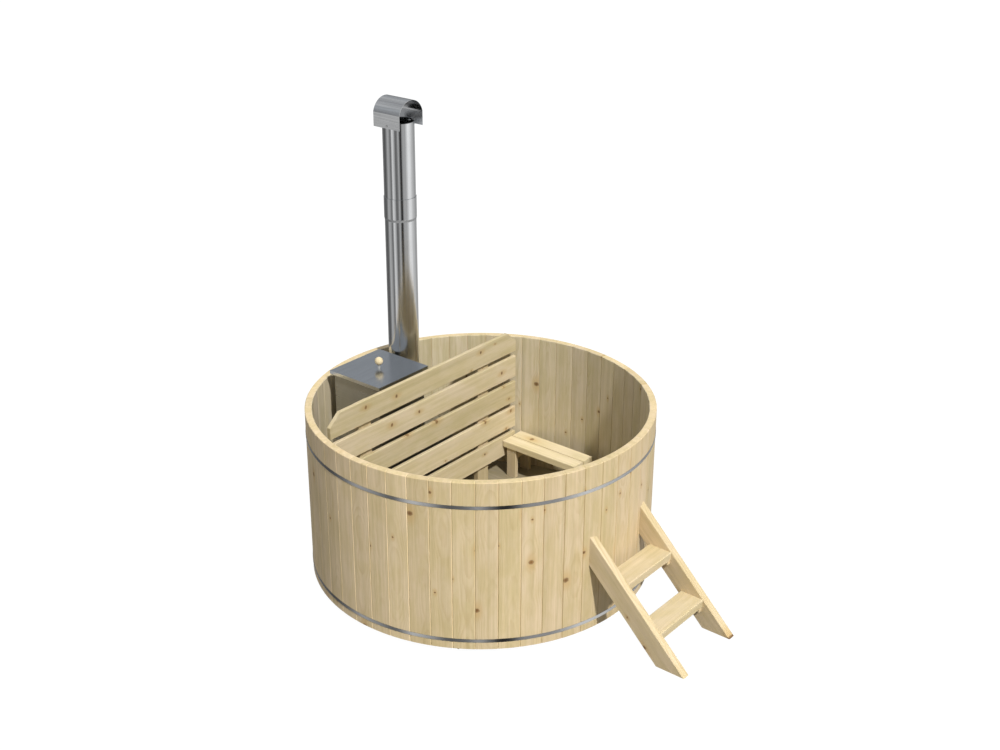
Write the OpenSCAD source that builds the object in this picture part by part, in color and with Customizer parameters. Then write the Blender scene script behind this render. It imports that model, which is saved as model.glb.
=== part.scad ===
/* [Tub] */
// Outside diameter of the stave wall
tub_d = 1900; // [1880:2:1980]
// Height of the rim above the ground
rim_z = 994; // [960:2:1030]
// Number of staves in the wall
stave_count = 52; // [48:2:56]
// Thickness of a stave
stave_t = 40; // [36:1:44]
// Height of the stave ends above the ground
chime_z = 36; // [26:2:46]
// Open joint between neighbouring staves
stave_gap = 0.4; // [0.2:0.1:0.8]
// Radius of the round tongue on a stave edge
tongue_r = 6; // [4:0.5:8]
// Play of a stave tongue in its groove
tongue_play = 0.4; // [0.2:0.1:0.8]
// Depth of the V along each stave joint
joint_v = 3; // [1:0.5:5]
// Chamfer round the rim
rim_chamfer = 3; // [1:0.5:6]

/* [Floor] */
// Thickness of the floor boards
floor_t = 34; // [30:1:38]
// Number of floor boards
floor_count = 13; // [11:1:17]
// Depth of the groove that holds the floor in the staves
croze_depth = 12; // [8:1:16]
// Play of the floor in its groove
croze_play = 0.3; // [0.2:0.1:0.6]
// Open joint between neighbouring floor boards
board_gap = 0.4; // [0.2:0.1:0.8]
// Size of the square tongue on a floor board edge
board_tongue = 8; // [6:1:10]
// Height of the bearers under the floor
bearer_h = 106; // [96:2:116]
// Width of a bearer
bearer_w = 62; // [50:2:80]
// Distance between bearer centres
bearer_pitch = 455; // [400:5:480]
// Gap between a bearer end and the staves
bearer_gap = 5; // [3:1:10]

/* [Hoops] */
// Width of a hoop
hoop_w = 19; // [16:1:24]
// Thickness of a hoop
hoop_t = 1.5; // [1:0.5:3]
// Distance from the rim down to the middle of the upper hoop
hoop_drop = 136; // [114:2:154]
// Height of the middle of the lower hoop above the stave ends
hoop_rise = 51; // [44:1:64]
// Direction of the hoop screws, on the hidden side
hoop_screw_az = 160; // [150:1:175]
// Distance between the two lugs of a hoop
lug_gap = 60; // [50:2:80]
// Height of a lug above the hoop
lug_h = 30; // [26:1:36]
// Thickness of a lug
lug_t = 4; // [3:0.5:6]
// Diameter of the hoop screw
hoop_screw_d = 8; // [6:1:10]

/* [Guard] */
// Thickness of a guard board
guard_t = 22; // [18:1:26]
// Gap between neighbouring guard boards
guard_gap = 30.7; // [24:0.1:38]
// Gap between the floor and the lowest guard board
guard_foot = 117; // [90:1:140]
// Height of the guard top above the rim
guard_above_rim = 66; // [50:1:80]
// Gap between the guard ends and the wall
guard_end_gap = 46; // [36:1:60]
// Length of the corner cut on the top board
guard_cut_l = 80; // [60:2:120]
// Height of the corner cut on the top board
guard_cut_h = 68; // [40:1:80]
// Width of a guard batten
batten_w = 96; // [80:2:110]
// Thickness of a guard batten
batten_t = 36; // [30:1:44]
// Distance of a batten centre from the tub axis
batten_y = 495; // [460:5:530]
// Drop of the batten tops below the guard top
batten_drop = 24; // [16:2:60]

/* [Bench] */
// Height of the seat above the floor
seat_rise = 231; // [210:1:260]
// Length of the bench
bench_l = 540; // [500:5:580]
// Width of a seat board
seat_w = 84; // [76:1:90]
// Thickness of a seat board
seat_t = 42; // [34:1:46]
// Gap between the seat boards
seat_gap = 8; // [4:1:14]
// Gap between the bench and the guard
bench_guard_gap = 5; // [3:1:20]
// Gap between the bench and the wall
bench_wall_gap = 3; // [2:1:10]
// Width of a bench leg
leg_w = 68; // [50:2:80]
// Thickness of a bench leg
leg_t = 28; // [22:1:34]
// Setback of a leg from the seat end
leg_setback = 22; // [14:1:40]
// Setback of a leg from the seat edge
leg_inset = 8; // [4:1:14]
// Height of the rail between two legs
rail_h = 60; // [50:1:70]

/* [Steps] */
// Slope of the steps
step_slope = 44.7; // [42:0.1:48]
// Height at which the stringers meet the wall
step_top_z = 580; // [540:2:640]
// Width of a stringer board
stringer_w = 120; // [110:1:140]
// Thickness of a stringer
stringer_t = 46; // [40:1:50]
// Width over both stringers
steps_w = 486; // [440:2:540]
// Drop from the stringer tops to the upper tread
tread_drop = 203; // [190:1:216]
// Height from one tread to the next
tread_rise = 206; // [190:1:220]
// Setback of a tread from the rear edges of the stringers
tread_setback = 32.6; // [26:0.2:44]
// Thickness of a tread
tread_t = 46; // [36:1:50]
// Height and width of the cleat under each tread end
cleat_w = 25; // [20:1:32]
// Setback of a cleat from the tread front
cleat_setback = 6; // [2:1:12]
// Gap between the stringers and the wall
steps_wall_gap = 0.3; // [0.2:0.1:1]
// Gap between a tread and a stringer
tread_play = 0.3; // [0.2:0.1:1]

/* [Stove] */
// Width of the firebox
firebox_w = 378; // [350:2:384]
// Height of the firebox
firebox_h = 460; // [400:5:500]
// Gap between the firebox and the guard
stove_guard_gap = 32; // [26:1:38]
// Gap between the firebox corners and the wall
stove_wall_gap = 32; // [28:1:40]
// Offset of the feed shaft from the tub axis
shaft_y = 148; // [140:1:156]
// Thickness of the stove plate
stove_plate = 4; // [3:0.5:5]
// Height of the stove runners
runner_h = 40; // [30:1:50]
// Height of the lid top above the rim
lid_above_rim = 62; // [46:1:80]
// Setback of the feed shaft from the sides of the firebox
shaft_inset = 18; // [14:1:22]
// Length of the lid
lid_l = 396; // [380:1:402]
// Depth of the lid edge
lid_rim = 19; // [14:1:26]
// Thickness of the lid sheet
lid_t = 3; // [2:0.5:4]
// Overhang of the lid beyond the shaft
lid_overhang = 18; // [14:1:22]
// Play of the lid round the shaft flange
lid_play = 1.5; // [0.5:0.5:2.5]
// Diameter of the knob
knob_d = 47; // [40:1:60]
// Height of the knob neck
neck_h = 22; // [14:1:30]
// Diameter of the knob neck
neck_d = 14; // [12:1:20]

/* [Flue] */
// Gap between the flue and the lid
flue_lid_gap = 17; // [12:1:24]
// Firebox top left between the flue and the nearest side
flue_side = 10; // [7:1:16]
// Firebox top left behind the flue
flue_behind = 7; // [5:1:14]
// Diameter of the flue pipe
flue_d = 176; // [170:1:178]
// Wall of the flue pipe
flue_t = 2.5; // [1.5:0.5:3.5]
// Length of the upper pipe above the socket
flue_upper_l = 419; // [380:1:460]
// Height of the socket above its foot
socket_h = 129; // [100:1:160]
// Height of the cone at the foot of the socket
socket_cone = 12; // [8:1:20]
// Play of the upper pipe in the socket
socket_play = 0.4; // [0.2:0.1:0.6]
// Height of the flue top above the rim
flue_above_rim = 1392; // [1346:2:1426]
// Overhang of the open hood ends beyond the flue
hood_over = 7; // [4:1:20]
// Gap between the flue and the hood sides
hood_gap = 4.5; // [3:0.5:8]
// Height of the flat sides of the hood
hood_side_h = 80; // [60:1:100]
// Rise of the hood arch above its sides
hood_rise = 73; // [60:1:80]
// Thickness of the hood sheet
hood_t = 1.5; // [1:0.5:2]
// Overlap of the hood sides and the flue
hood_lap = 27; // [20:1:40]

/* [Drain] */
// Height of the drain axis above the floor
drain_rise = 52; // [46:1:70]
// Outside diameter of the drain tube
drain_d = 48; // [40:1:52]
// Inside diameter of the drain tube
drain_bore = 38; // [30:1:40]
// Diameter of the drain flange
drain_flange_d = 72; // [66:1:80]
// Diameter of the way through the valve ball
valve_bore = 30; // [24:1:34]
// Diameter of the valve ball
ball_d = 46; // [42:1:50]
// Length of the valve lever
lever_l = 110; // [90:1:130]
// Diameter of the hose spigot
spigot_d = 42; // [38:1:46]
// Length of the hose spigot
spigot_l = 36; // [30:1:50]

/* [Boards] */
// Width of the chamfer along the edges of the boards
board_ease = 3; // [1:0.5:5]

/* [Hidden] */
// How far a cut runs past the surface it opens
over = 2;
// Gap between pieces that seat on a curved face
seat = 0.3;

// Countersunk wood screw
screw_head_d = 9;
screw_head_h = 4;
screw_d = 5;
screw_tip = 8;
screw_play = 0.2;
screw_bite = 24;
seat_bite_share = 0.6;
// Screws in a row sit this share of the piece's width to each side of its middle
row_share = 0.25;
rail_row_share = 0.17;

// Hexagon heads and nuts, as shares of the screw diameter
hex_sides = 6;
bolt_head_share = 0.7;
bolt_flats_share = 1.6;
flat_head_share = 0.5;
flat_head_d_share = 2;

// Tub
tub_r = tub_d / 2;
inner_r = tub_r - stave_t;
stave_mid_r = inner_r + stave_t / 2;
stave_angle = 360 / stave_count;
joint_angle = stave_angle / 2;
drain_stave_share = 0.365;
drain_index = round(stave_count * drain_stave_share);
drain_az = drain_index * stave_angle;

// Floor
floor_z = bearer_h;
floor_top = floor_z + floor_t;
croze_r = inner_r + croze_depth;
floor_r = croze_r - croze_play;
board_w = 2 * floor_r / floor_count;
board_mid_share = 0.5;

// Hoops
hoop_upper_z = rim_z - hoop_drop;
hoop_lower_z = chime_z + hoop_rise;
hoop_r = tub_r + seat;
lug_angle = asin(lug_gap / 2 / tub_r);
lug_inset = 1;
lug_bolt_share = 0.6;
lug_bolt_r = hoop_r + lug_h * lug_bolt_share;
bolt_head_h = hoop_screw_d * bolt_head_share;
bolt_af = hoop_screw_d * bolt_flats_share;
bolt_spare = hoop_screw_d;

// Stove
lid_top_z = rim_z + lid_above_rim;
lid_y = -shaft_y;
flue_r = flue_d / 2;
flue_y = lid_y + lid_l / 2 + flue_lid_gap + flue_r;
firebox_y = lid_y - lid_l / 2;
firebox_l = flue_y + flue_r + flue_behind - firebox_y;
firebox_corner_y = max(abs(firebox_y), abs(firebox_y + firebox_l));
firebox_x = -sqrt(pow(inner_r - stove_wall_gap, 2) - pow(firebox_corner_y, 2));
firebox_z = floor_top + runner_h;
firebox_top = firebox_z + firebox_h;
flue_x = firebox_x + flue_side + flue_r;
lid_x = firebox_x + firebox_w / 2;
shaft_w = firebox_w - 2 * shaft_inset;
shaft_l = lid_l - 2 * lid_overhang;
lid_w = shaft_w + 2 * lid_overhang;
flange_t = 5;
flange_w = lid_w - 2 * lid_t - 2 * lid_play;
flange_l = lid_l - 2 * lid_t - 2 * lid_play;
flange_top = lid_top_z - lid_t - seat;
ledge_w = 34;
grate_t = 14;
grate_play = 6;
grate_w = shaft_w - 2 * stove_plate - 2 * grate_play;
grate_l = shaft_l - 2 * stove_plate - 2 * grate_play;
grate_rim = 22;
grate_slot = 12;
grate_bar = 14;
ash_h = 84;
grate_z = firebox_z + stove_plate + ash_h;
pan_gap = 20;
pan_h = ash_h - pan_gap;
pan_t = 2;
pan_inset = 20;
runner_t = 5;
runner_flange = 40;
runner_inset = 30;
runner_screw_edge = 110;
runner_screw_l = 30;
runner_play = 0.3;

// Guard, in front of the stove
guard_count = 5;
guard_top_z = rim_z + guard_above_rim;
guard_pitch = (guard_top_z - floor_top - guard_foot + guard_gap) / guard_count;
guard_board_h = guard_pitch - guard_gap;
guard_offset = -firebox_x - firebox_w - stove_guard_gap - guard_t;
guard_rear = guard_offset + guard_t;
guard_half = sqrt(pow(inner_r, 2) - pow(guard_rear, 2)) - guard_end_gap;
batten_top = guard_top_z - batten_drop;
foot_l = 40;
foot_w = 60;
foot_t = 5;
foot_screw_l = 28;
foot_hole_share = 0.6;

// Bench
bench_top_z = floor_top + seat_rise;
bench_x = bench_guard_gap - guard_offset;
bench_corner_x = max(abs(bench_x), abs(bench_x + bench_l));
bench_back = sqrt(pow(inner_r - bench_wall_gap, 2) - pow(bench_corner_x, 2));
bench_front = bench_back - 2 * seat_w - seat_gap;
leg_top = bench_top_z - seat_t;
leg_h = leg_top - floor_top;
leg_xs = [bench_x + leg_setback, bench_x + bench_l - leg_setback - leg_w];
leg_ys = [bench_front + leg_inset, bench_back - leg_inset - leg_t];
rail_l = leg_ys[1] - leg_ys[0] - leg_t;

// Steps
stringer_in = steps_w / 2 - stringer_t;
steps_x = sqrt(pow(tub_r, 2) - pow(stringer_in, 2)) + steps_wall_gap;
stringer_run = step_top_z / sin(step_slope) + 2 * stringer_w;
stringer_top_z = step_top_z + stringer_w;
tread_l = stringer_w / sin(step_slope) - tread_setback;
tread_low_z = step_top_z - tread_drop - tread_rise;
tread_w = 2 * (stringer_in - tread_play);
cleat_l = stringer_w / sin(step_slope) - (tread_t + cleat_w) / tan(step_slope) - 2 * cleat_setback;
cleat_screw_l = cleat_w + screw_bite;

// Lid knob
knob_flat_share = 0.06;
knob_flat = knob_d * knob_flat_share;
knob_r = knob_d / 2;
knob_bolt_d = 8;
knob_bolt_play = 0.3;
knob_bolt_bite = 22;

// Flue
flue_top_z = rim_z + flue_above_rim;
socket_z = flue_top_z - flue_upper_l - socket_h;
socket_r = flue_r + socket_play + flue_t;
collar_t = 3;
collar_h = 60;
collar_r = flue_r - flue_t - socket_play;
hood_half = flue_r + hood_gap;
hood_l = flue_d + 2 * hood_over;
hood_z = flue_top_z - hood_lap;
hood_bend = hood_z + hood_side_h;
hood_arch_r = (pow(hood_half, 2) + pow(hood_rise, 2)) / (2 * hood_rise);
hood_arch_z = hood_bend + hood_rise - hood_arch_r;
hood_screw_z = hood_z + hood_lap / 2;
hood_screw_d = 6;
hood_screw_play = 0.2;
hood_head_d = 12;
hood_head_h = 3;
hood_bush_d = 14;
hood_nut_af = 10;
hood_nut_h = 5;

// Drain, measured outwards along its own axis
drain_z = floor_top + drain_rise;
drain_play = 0.3;
gasket_t = 3;
drain_flange_t = 6;
spot_depth = 1.5;
spot_play = 3;
drain_nut_h = 12;
drain_nut_x = tub_r - spot_depth;
valve_socket = 18;
valve_wall = 6;
valve_gap = 2;
valve_x = drain_nut_x + drain_nut_h + valve_gap;
drain_end = valve_x + valve_socket;
ball_r = ball_d / 2;
ball_play = 0.3;
seat_ring = 5;
ball_x = valve_x + valve_socket + seat_ring + ball_r;
mouth_share = 0.6;
mouth_x = ball_x + ball_r * mouth_share;
valve_end = ball_x + ball_r + seat_ring;
valve_r = ball_r + valve_wall + ball_play;
cap_flange = 6;
stem_d = 10;
stem_play = 0.08;
bonnet_d = 24;
bonnet_h = 10;
stem_top = valve_r + bonnet_h;
lever_w = 20;
lever_t = 3;
lever_hub_d = 24;
lever_gap = 1;
stem_nut_af = 16;
stem_nut_h = 5;

$fn = 96;

// Screws

// Countersunk screw, head flush at the origin, pointing down
module wood_screw(l) {
    rotate_extrude()
        polygon([[0, 0], [screw_head_d / 2, 0], [screw_d / 2, -screw_head_h],
            [screw_d / 2, screw_tip - l], [0, -l]]);
}

// The hole that such a screw sits in, as wide as the screw and its play
module screw_hole(l) {
    head_r = screw_head_d / 2 + screw_play;
    rotate_extrude()
        polygon([[0, over], [head_r, over], [head_r, 0],
            [screw_d / 2 + screw_play, -screw_head_h],
            [screw_d / 2 + screw_play, -l - screw_play], [0, -l - screw_play]]);
}

// Section of a board with chamfered edges
module eased(w, h) {
    e = board_ease;
    polygon([[e, 0], [w - e, 0], [w, e], [w, h - e], [w - e, h], [e, h], [0, h - e], [0, e]]);
}

// Boards with eased long edges that run along X, along Y and upright
module board_along_x(l, w, h) {
    rotate([90, 0, 90]) linear_extrude(l) eased(w, h);
}

module board_along_y(w, l, h) {
    translate([0, l, 0]) rotate([90, 0, 0]) linear_extrude(l) eased(w, h);
}

module board_upright(w, t, h) {
    linear_extrude(h) eased(w, t);
}

// Hexagon of a given width across flats
module hex(af, h) {
    cylinder(h = h, d = af / cos(180 / hex_sides), $fn = hex_sides);
}

// Staves

// Outline of stave i, with a round tongue on one edge and a groove on the other
module stave_outline(i) {
    half = tan(joint_angle);
    slack = stave_gap / 2 / cos(joint_angle);
    far = tub_r + over;
    rotate(i * stave_angle)
    difference() {
        union() {
            intersection() {
                polygon([[inner_r, slack - inner_r * half], [far, slack - far * half],
                    [far, far * half - slack], [inner_r, inner_r * half - slack]]);
                circle(tub_r);
            }
            rotate(joint_angle) translate([stave_mid_r, 0]) circle(tongue_r);
        }
        rotate(-joint_angle) translate([stave_mid_r, 0]) circle(tongue_r + tongue_play);
        for (side = [-1, 1], r = [inner_r / cos(joint_angle), tub_r])
            rotate(side * joint_angle) translate([r, 0]) rotate(45)
                square(joint_v * sqrt(2), center = true);
    }
}

// Groove for the floor and the chamfers round the rim
module croze_and_rim() {
    translate([0, 0, floor_z - croze_play]) cylinder(h = floor_t + 2 * croze_play, r = croze_r);
    rotate_extrude()
        polygon([[tub_r - rim_chamfer, rim_z], [tub_r + over, rim_z - rim_chamfer - over],
            [tub_r + over, rim_z + over], [tub_r - rim_chamfer, rim_z + over]]);
    rotate_extrude()
        polygon([[inner_r, rim_z - rim_chamfer], [inner_r + rim_chamfer, rim_z],
            [inner_r + rim_chamfer, rim_z + over], [inner_r - over, rim_z + over],
            [inner_r - over, rim_z - rim_chamfer]]);
}

module stave_set(indices) {
    difference() {
        translate([0, 0, chime_z]) linear_extrude(rim_z - chime_z)
            for (i = indices) stave_outline(i);
        croze_and_rim();
    }
}

module staves() {
    color("burlywood") stave_set([for (i = [0 : stave_count - 1]) if (i != drain_index) i]);
}

module drain_stave() {
    color("burlywood") difference() {
        stave_set([drain_index]);
        at_drain() {
            translate([0, 0, inner_r - over])
                cylinder(h = stave_t + 2 * over, d = drain_d + 2 * drain_play);
            translate([0, 0, drain_nut_x])
                cylinder(h = spot_depth + over, d = drain_flange_d + 2 * spot_play);
        }
    }
}

// Floor

// Middle of the floor board that lies at y
function board_mid(y) = (floor((y + floor_r) / board_w) + board_mid_share) * board_w - floor_r;

// Section of a floor board across its length, with tongue and groove
module board_section(i) {
    mid = floor_t / 2 - board_tongue / 2;
    translate([i * board_w - floor_r, 0])
    difference() {
        union() {
            square([board_w - board_gap, floor_t]);
            translate([board_w - board_gap - over, mid]) square([board_tongue + over, board_tongue]);
        }
        translate([-over, mid - croze_play])
            square([board_tongue + over + croze_play, board_tongue + 2 * croze_play]);
    }
}

module floor_boards() {
    color("wheat") difference() {
        translate([0, 0, floor_z]) intersection() {
            rotate([90, 0, 90]) linear_extrude(2 * tub_r, center = true)
                for (i = [0 : floor_count - 1]) board_section(i);
            cylinder(h = floor_t, r = floor_r);
        }
        at_stove_screws() screw_hole(runner_screw_l);
        at_floor_screws() screw_hole(foot_screw_l);
    }
}

// A bearer runs across the floor boards, as long as the staves let it be
module bearer(x) {
    half = sqrt(pow(inner_r - bearer_gap, 2) - pow(abs(x) + bearer_w / 2, 2));
    color("dimgray") translate([x - bearer_w / 2, -half, 0]) cube([bearer_w, 2 * half, bearer_h]);
}

// Hoops

module at_hoops() {
    for (z = [hoop_upper_z, hoop_lower_z]) translate([0, 0, z]) children();
}

// Band open between its two lugs, which the hoop screw draws together
module hoop(z) {
    color("silver") difference() {
        translate([0, 0, z - hoop_w / 2]) {
            rotate(hoop_screw_az + lug_angle) rotate_extrude(angle = 360 - 2 * lug_angle)
                translate([hoop_r, 0]) square([hoop_t, hoop_w]);
            rotate(hoop_screw_az) for (side = [0, 1]) mirror([0, side, 0])
                translate([hoop_r * cos(lug_angle), lug_gap / 2, lug_inset])
                    cube([lug_h + hoop_t, lug_t, hoop_w - 2 * lug_inset]);
        }
        translate([0, 0, z]) along_lug_bolt() translate([0, 0, -lug_gap])
            cylinder(h = 2 * lug_gap, d = hoop_screw_d + 2 * screw_play);
    }
}

module along_lug_bolt() {
    rotate(hoop_screw_az) translate([lug_bolt_r, 0, 0]) rotate([90, 0, 0]) children();
}

module hoop_bolts() {
    color("silver") at_hoops() along_lug_bolt() {
        translate([0, 0, lug_gap / 2 + lug_t]) hex(bolt_af, bolt_head_h);
        translate([0, 0, -lug_gap / 2 - lug_t - bolt_head_h - bolt_spare])
            cylinder(h = lug_gap + 2 * lug_t + bolt_head_h + bolt_spare, d = hoop_screw_d);
    }
}

module hoop_nuts() {
    color("silver") at_hoops() along_lug_bolt()
        translate([0, 0, -lug_gap / 2 - lug_t - bolt_head_h]) difference() {
            hex(bolt_af, bolt_head_h);
            translate([0, 0, -over])
                cylinder(h = bolt_head_h + 2 * over, d = hoop_screw_d + 2 * screw_play);
        }
}

// Guard

function guard_z(i) = guard_top_z - guard_board_h - i * guard_pitch;

// Two screws through a batten into each guard board
module at_guard_screws() {
    for (i = [0 : guard_count - 1], side = [-1, 1], row = [-1, 1])
        translate([-guard_rear - batten_t, side * batten_y + row * batten_w * row_share,
                guard_z(i) + guard_board_h / 2 + row * guard_board_h * row_share])
            rotate([0, -90, 0]) children();
}

guard_screw_l = batten_t + guard_t / 2;

module guard_board(i) {
    z = guard_z(i);
    color("burlywood") difference() {
        translate([-guard_rear, -guard_half, z]) board_along_y(guard_t, 2 * guard_half, guard_board_h);
        if (i == 0) translate([-guard_rear - over, 0, 0]) rotate([90, 0, 90])
            linear_extrude(guard_t + 2 * over) for (side = [0, 1]) mirror([side, 0])
                polygon([[guard_half - guard_cut_l, guard_top_z + over],
                    [guard_half - guard_cut_l, guard_top_z],
                    [guard_half, guard_top_z - guard_cut_h],
                    [guard_half + over, guard_top_z - guard_cut_h],
                    [guard_half + over, guard_top_z + over]]);
        at_guard_screws() screw_hole(guard_screw_l);
    }
}

module guard_batten(side) {
    color("tan") difference() {
        translate([-guard_rear - batten_t, side * batten_y - batten_w / 2, floor_top])
            board_upright(batten_t, batten_w, batten_top - floor_top);
        at_guard_screws() screw_hole(guard_screw_l);
        at_batten_screws() screw_hole(foot_screw_l);
    }
}

module guard_screws() {
    color("silver") at_guard_screws() wood_screw(guard_screw_l);
}

// The inner corner of each foot bracket, behind a batten, with +X away from it
module at_foot_brackets() {
    for (side = [-1, 1]) translate([-guard_rear - batten_t, side * batten_y, floor_top])
        rotate(180) children();
}

module at_batten_screws() {
    at_foot_brackets() for (row = [-1, 1])
        translate([foot_t, row * foot_w * row_share, foot_l * foot_hole_share]) rotate([0, 90, 0]) children();
}

module at_floor_screws() {
    at_foot_brackets() for (row = [-1, 1])
        translate([foot_l * foot_hole_share, row * foot_w * row_share, foot_t]) children();
}

// Angle brackets that fix the battens to the floor
module foot_brackets() {
    color("silver") difference() {
        at_foot_brackets() {
            translate([0, -foot_w / 2, 0]) cube([foot_t, foot_w, foot_l]);
            translate([0, -foot_w / 2, 0]) cube([foot_l, foot_w, foot_t]);
        }
        at_batten_screws() screw_hole(foot_screw_l);
        at_floor_screws() screw_hole(foot_screw_l);
    }
}

module foot_screws() {
    color("silver") {
        at_batten_screws() wood_screw(foot_screw_l);
        at_floor_screws() wood_screw(foot_screw_l);
    }
}

// Bench

seat_screw_l = rail_h + seat_t * seat_bite_share;
rail_screw_l = leg_t + screw_bite;

// Screws from below through a rail into the seat boards
module at_seat_screws() {
    for (x = leg_xs, row = [-1, 1])
        translate([x + leg_w / 2, (bench_front + bench_back + row * (seat_w + seat_gap)) / 2,
                leg_top - rail_h])
            rotate([180, 0, 0]) children();
}

// Screws through each leg into the end of its rail
module at_rail_screws() {
    for (x = leg_xs, end = [0, 1], row = [-1, 1])
        translate([x + leg_w / 2 + row * leg_w * row_share, end == 0 ? leg_ys[0] : leg_ys[1] + leg_t,
                leg_top - rail_h / 2 + row * rail_h * rail_row_share])
            rotate([end == 0 ? 90 : -90, 0, 0]) children();
}

module bench_cuts() {
    at_seat_screws() screw_hole(seat_screw_l);
    at_rail_screws() screw_hole(rail_screw_l);
}

module seat_board(y) {
    color("burlywood") difference() {
        translate([bench_x, y, leg_top]) board_along_x(bench_l, seat_w, seat_t);
        bench_cuts();
    }
}

module bench_leg(x, y) {
    color("tan") difference() {
        translate([x, y, floor_top]) board_upright(leg_w, leg_t, leg_h);
        bench_cuts();
    }
}

module bench_rail(x) {
    color("tan") difference() {
        translate([x, leg_ys[0] + leg_t, leg_top - rail_h]) board_along_y(leg_w, rail_l, rail_h);
        bench_cuts();
    }
}

module bench_screws() {
    color("silver") {
        at_seat_screws() wood_screw(seat_screw_l);
        at_rail_screws() wood_screw(rail_screw_l);
    }
}

// Steps

function stringer_x(z) = steps_x + (step_top_z - z) / tan(step_slope);
function tread_z(i) = tread_low_z + i * tread_rise;

// Origin of each cleat, at its lower rear edge
module at_cleats() {
    for (i = [0, 1], side = [0, 1])
        mirror([0, side, 0])
            translate([stringer_x(tread_z(i)) - cleat_setback - cleat_l, stringer_in - cleat_w,
                tread_z(i) - tread_t - cleat_w]) children();
}

// Two screws through each cleat into its stringer and one up into the tread
module at_step_screws() {
    at_cleats() {
        for (row = [-1, 1])
            translate([cleat_l * (board_mid_share + row * row_share), 0, cleat_w / 2])
                rotate([90, 0, 0]) children();
        translate([cleat_l / 2, cleat_w / 2, 0]) rotate([180, 0, 0]) children();
    }
}

// Board at the slope of the steps, hollowed to the wall above and cut level at the ground
module stringer(side) {
    y = side * (stringer_in + stringer_t / 2) - stringer_t / 2;
    color("burlywood") difference() {
        intersection() {
            translate([steps_x, y, step_top_z]) rotate([0, step_slope, 0])
                translate([-stringer_w, 0, -stringer_w])
                    board_along_x(stringer_run, stringer_t, stringer_w);
            translate([0, y, 0]) cube([steps_x + stringer_run, stringer_t, stringer_top_z]);
        }
        translate([0, 0, -over]) cylinder(h = stringer_top_z + 2 * over, r = tub_r + steps_wall_gap);
        at_step_screws() screw_hole(cleat_screw_l);
    }
}

module tread(i) {
    color("wheat") difference() {
        translate([stringer_x(tread_z(i)) - tread_l, -tread_w / 2, tread_z(i) - tread_t])
            board_along_y(tread_l, tread_w, tread_t);
        at_step_screws() screw_hole(cleat_screw_l);
    }
}

module tread_cleats() {
    color("burlywood") difference() {
        at_cleats() board_along_x(cleat_l, cleat_w, cleat_w);
        at_step_screws() screw_hole(cleat_screw_l);
    }
}

module step_screws() {
    color("silver") at_step_screws() wood_screw(cleat_screw_l);
}

// Stove

// Upright box of a given size round a middle point
module mid_box(x, y, z, w, l, h) {
    translate([x - w / 2, y - l / 2, z]) cube([w, l, h]);
}

// Firebox with the feed shaft and its flange, the flue collar and the grate ledges
module stove_body() {
    inset = 2 * stove_plate;
    color("slategray") difference() {
        union() {
            difference() {
                union() {
                    translate([firebox_x, firebox_y, firebox_z])
                        cube([firebox_w, firebox_l, firebox_h]);
                    mid_box(lid_x, lid_y, firebox_top - over, shaft_w, shaft_l,
                        flange_top - firebox_top + over);
                    mid_box(lid_x, lid_y, flange_top - flange_t, flange_w, flange_l, flange_t);
                }
                translate([firebox_x + stove_plate, firebox_y + stove_plate,
                        firebox_z + stove_plate])
                    cube([firebox_w - inset, firebox_l - inset, firebox_h - inset]);
                mid_box(lid_x, lid_y, firebox_top - stove_plate - over, shaft_w - inset,
                    shaft_l - inset, flange_top - firebox_top + stove_plate + 2 * over);
            }
            translate([flue_x, flue_y, firebox_top - stove_plate / 2])
                cylinder(h = collar_h, r = collar_r);
            for (x = [firebox_x + stove_plate / 2, firebox_x + firebox_w - stove_plate / 2 - ledge_w])
                translate([x, lid_y - grate_l / 2, grate_z - stove_plate])
                    cube([ledge_w, grate_l, stove_plate]);
        }
        translate([flue_x, flue_y, firebox_top - stove_plate - over])
            cylinder(h = collar_h + 2 * stove_plate + over, r = collar_r - collar_t);
    }
}

module at_stove_screws() {
    for (side = [-1, 1], y = [firebox_y + runner_screw_edge, firebox_y + firebox_l - runner_screw_edge])
        translate([lid_x + side * (firebox_w / 2 - runner_inset - runner_flange / 2), board_mid(y),
                floor_top + runner_t])
            children();
}

// Angle runners that hold the firebox off the floor
module stove_runners() {
    color("slategray") difference() {
        for (side = [0, 1]) translate([lid_x, firebox_y, floor_top]) mirror([side, 0, 0])
            translate([runner_inset + runner_play - firebox_w / 2, 0, 0]) {
                cube([runner_t, firebox_l, runner_h]);
                cube([runner_flange, firebox_l, runner_t]);
            }
        at_stove_screws() screw_hole(runner_screw_l);
    }
}

module stove_screws() {
    color("silver") at_stove_screws() wood_screw(runner_screw_l);
}

// Cast grate with a rim and open slots, small enough to lift out through the shaft
module stove_grate() {
    pitch = grate_slot + grate_bar;
    count = floor((grate_w - 2 * grate_rim - grate_slot) / pitch);
    color("darkslategray") difference() {
        mid_box(lid_x, lid_y, grate_z, grate_w, grate_l, grate_t);
        for (i = [0 : count])
            translate([lid_x + (i - count / 2) * pitch, lid_y, grate_z - over]) {
                mid_box(0, 0, 0, grate_slot, grate_l - 2 * grate_rim - grate_slot, grate_t + 2 * over);
                for (end = [-1, 1])
                    translate([0, end * (grate_l / 2 - grate_rim - grate_slot / 2), 0])
                        cylinder(h = grate_t + 2 * over, d = grate_slot);
            }
    }
}

module ash_pan() {
    w = grate_w - 2 * pan_inset;
    l = grate_l - 2 * pan_inset;
    z = firebox_z + stove_plate;
    color("gray") difference() {
        mid_box(lid_x, lid_y, z, w, l, pan_h);
        mid_box(lid_x, lid_y, z + pan_t, w - 2 * pan_t, l - 2 * pan_t, pan_h);
    }
}

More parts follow.
